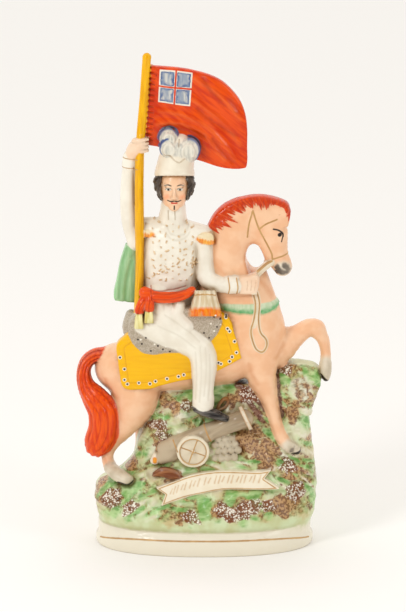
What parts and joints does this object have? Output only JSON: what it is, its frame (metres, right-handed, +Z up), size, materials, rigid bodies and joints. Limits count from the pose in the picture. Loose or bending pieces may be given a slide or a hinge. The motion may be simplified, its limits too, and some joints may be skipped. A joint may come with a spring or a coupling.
{
  "type": "equestrian figure",
  "caption": "Glazed earthenware flatback figure of an officer holding a flag on a rearing horse, over a rocky mound and an oval base.",
  "frame": {"origin": "centre of the oval base's flat underside", "axes": "+Z up; the modelled front faces -Y; +X is to the viewer's right, where the horse's head is"},
  "size_m": [0.1854, 0.092, 0.3687],
  "materials": {
    "glazed_earthenware": "clear lead glaze over painted enamels on a cream-white body"
  },
  "bodies": {
    "root": {"figure": "glazed_earthenware"}
  },
  "joints": []
}
